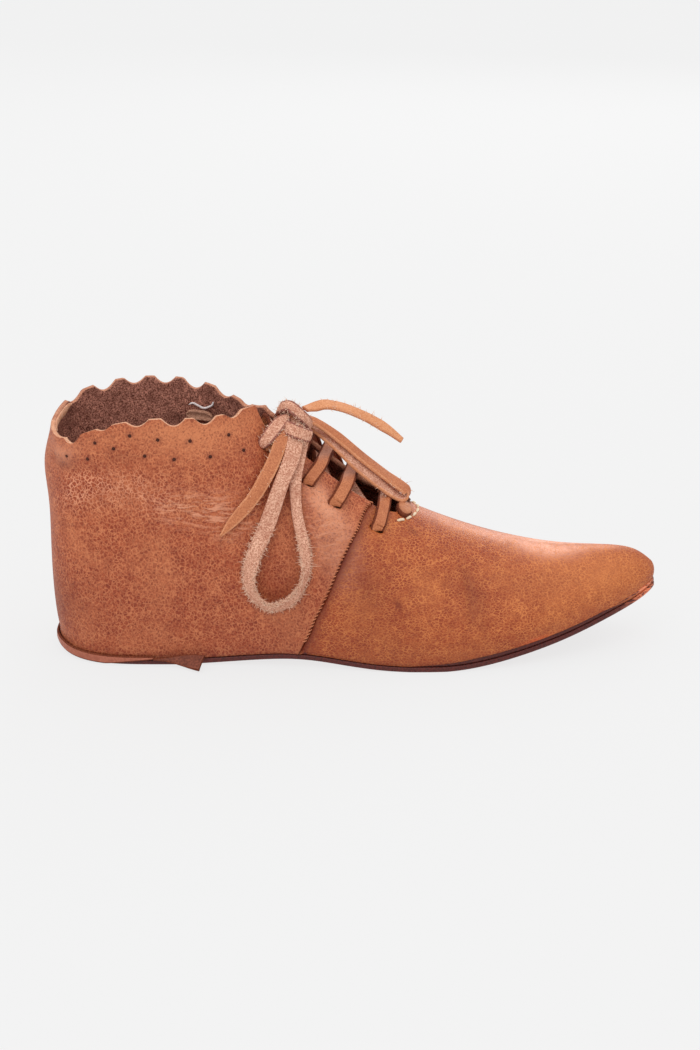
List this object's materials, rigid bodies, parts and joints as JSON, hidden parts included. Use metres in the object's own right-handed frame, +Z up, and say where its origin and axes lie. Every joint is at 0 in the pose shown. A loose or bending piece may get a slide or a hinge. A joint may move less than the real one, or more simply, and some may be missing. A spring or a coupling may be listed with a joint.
{
  "type": "medieval shoe",
  "caption": "Low ankle shoe in brown leather with a pointed toe, a scalloped collar, a flat thin sole and a leather thong laced over the instep and tied in a bow.",
  "frame": {"origin": "on the floor under the middle of the shoe's box", "axes": "+X from heel to toe, +Y towards the inner side of the foot, +Z up"},
  "size_m": [0.2874, 0.09, 0.1218],
  "materials": {
    "sole": "dark dyed sole leather",
    "rand": "cut leather edge",
    "insole": "plain undyed leather",
    "upper": "brown grained leather, satin",
    "heel_strip": "brown leather strip",
    "lace": "tan thong with a rough flesh side"
  },
  "bodies": {
    "root": {"sole": "sole", "rand": "rand", "insole": "insole", "upper": "upper", "heel_strip": "heel_strip", "lace_bars_one": "lace", "lace_bars_two": "lace", "lace_knot": "lace", "lace_loop_near": "lace", "lace_loop_far": "lace", "lace_end_near": "lace", "lace_end_far": "lace"}
  },
  "joints": []
}
